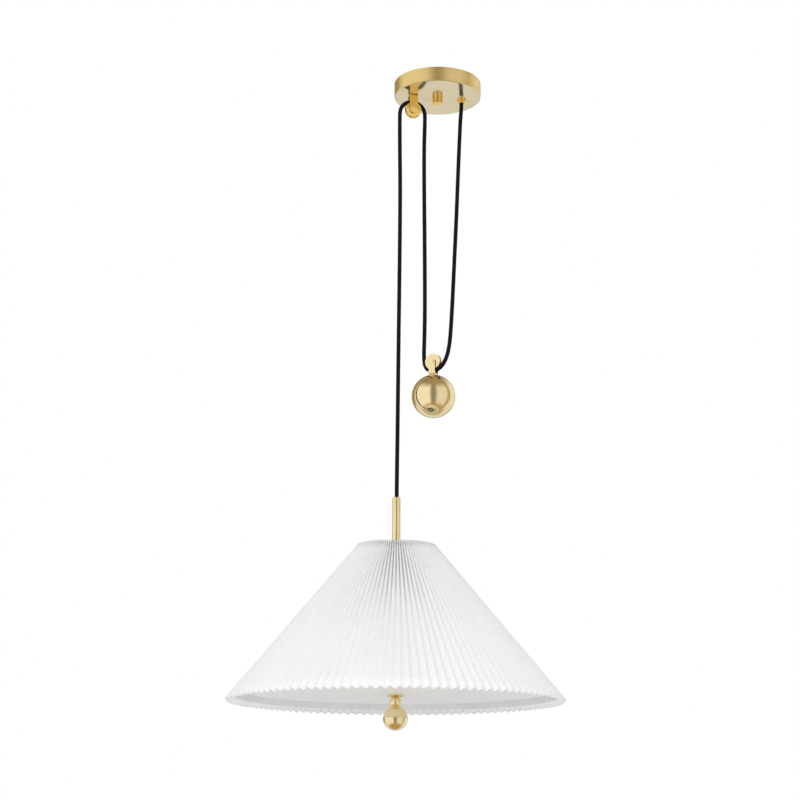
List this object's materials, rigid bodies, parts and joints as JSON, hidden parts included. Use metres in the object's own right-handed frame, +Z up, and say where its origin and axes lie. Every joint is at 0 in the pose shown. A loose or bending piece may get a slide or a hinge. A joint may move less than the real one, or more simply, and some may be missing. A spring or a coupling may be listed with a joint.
{
  "type": "rise and fall pendant",
  "caption": "Rise-and-fall pendant: ceiling canopy with pulley, braided cord, ball counterweight on a running pulley, stem, pleated cone shade, opal diffuser and ball finial.",
  "frame": {"origin": "centre of the canopy on the ceiling plane", "axes": "+Z up towards the ceiling; +X from the pulley bracket to the cord grip; +Y completes the frame, along the crossbar"},
  "size_m": [0.56, 0.56, 1.1473],
  "materials": {
    "brushed_brass": "fine circumferential brushing",
    "polished_brass": "polished",
    "bush_bronze": "turned, oiled",
    "zinc_steel": "zinc plated",
    "frame_paint": "white powder coat",
    "hoop_paint": "white powder coat",
    "shade_fabric": "ivory, knife-pleated",
    "cord_fabric": "black braid",
    "lead_fabric": "braided sleeve",
    "holder_plastic": "moulded",
    "terminal_plastic": "moulded",
    "lamp_cap_metal": "plain",
    "lamp_glass": "opal",
    "cluster_metal": "white enamel",
    "diffuser_acrylic": "opal satin"
  },
  "bodies": {
    "canopy": {"crossbar": "zinc_steel", "canopy_nipple": "zinc_steel", "crossbar_locknut": "zinc_steel", "canopy_cap_nut": "polished_brass", "canopy_shell": "brushed_brass", "terminal_block": "terminal_plastic", "cord_grip": "polished_brass", "grip_locknut": "zinc_steel", "pulley_bracket": "polished_brass", "bracket_screw": "polished_brass", "bracket_nut": "zinc_steel", "upper_axle": "polished_brass", "supply_lead": "lead_fabric", "cord_loop": "cord_fabric", "cord_drop": "cord_fabric"},
    "upper_wheel": {"upper_pulley_wheel": "polished_brass", "upper_wheel_bush": "bush_bronze"},
    "counterweight": {"counterweight_yoke": "polished_brass", "lower_axle": "polished_brass", "ball_washer": "polished_brass", "counterweight_ball": "polished_brass", "yoke_screw": "zinc_steel"},
    "lower_wheel": {"lower_pulley_wheel": "polished_brass", "lower_wheel_bush": "bush_bronze"},
    "pendant": {"stem_cap": "polished_brass", "stem_tube": "polished_brass", "stem_nipple": "zinc_steel", "stem_locknut": "zinc_steel", "shade_top_ring": "frame_paint", "shade_spider": "frame_paint", "shade_ribs": "frame_paint", "bottom_hoop": "hoop_paint", "pleated_shade": "shade_fabric", "cluster_body": "cluster_metal", "lampholder_1": "holder_plastic", "lampholder_2": "holder_plastic", "lampholder_3": "holder_plastic", "lamp_cap_1": "lamp_cap_metal", "lamp_cap_2": "lamp_cap_metal", "lamp_cap_3": "lamp_cap_metal", "lamp_glass_1": "lamp_glass", "lamp_glass_2": "lamp_glass", "lamp_glass_3": "lamp_glass", "centre_rod": "zinc_steel", "rod_locknut": "zinc_steel", "cluster_leads": "lead_fabric"},
    "diffuser_set": {"diffuser": "diffuser_acrylic", "finial_washer": "polished_brass", "finial_neck": "polished_brass", "finial_ball": "polished_brass"}
  },
  "joints": [
    {"name": "shade_height", "type": "slide", "parent": "canopy", "child": "pendant", "axis": [0, 0, 1], "range_m": [-0.56, 0.12], "deforming": ["cord_drop"]},
    {"name": "counterweight_travel", "type": "slide", "parent": "canopy", "child": "counterweight", "axis": [0, 0, 1], "range_m": [-0.0605, 0.2805], "deforming": ["cord_loop"]},
    {"name": "upper_wheel_spin", "type": "hinge", "parent": "canopy", "child": "upper_wheel", "pos_m": [-0.045, 0, -0.054], "axis": [0, 1, 0], "range_deg": [-2130, 460]},
    {"name": "lower_wheel_spin", "type": "hinge", "parent": "counterweight", "child": "lower_wheel", "pos_m": [-0.0071, 0, -0.517], "axis": [0.6613, 0.7501, 0], "range_deg": [-230, 1070]},
    {"name": "diffuser_drop", "type": "slide", "parent": "pendant", "child": "diffuser_set", "axis": [0, 0, 1], "range_m": [-0.08, 0]}
  ],
  "couplings": [
    {"joint": "counterweight_travel", "follows": "shade_height", "ratio": -0.5},
    {"joint": "upper_wheel_spin", "follows": "shade_height", "rad_per_m": 66.2},
    {"joint": "lower_wheel_spin", "follows": "shade_height", "rad_per_m": -33.1}
  ]
}
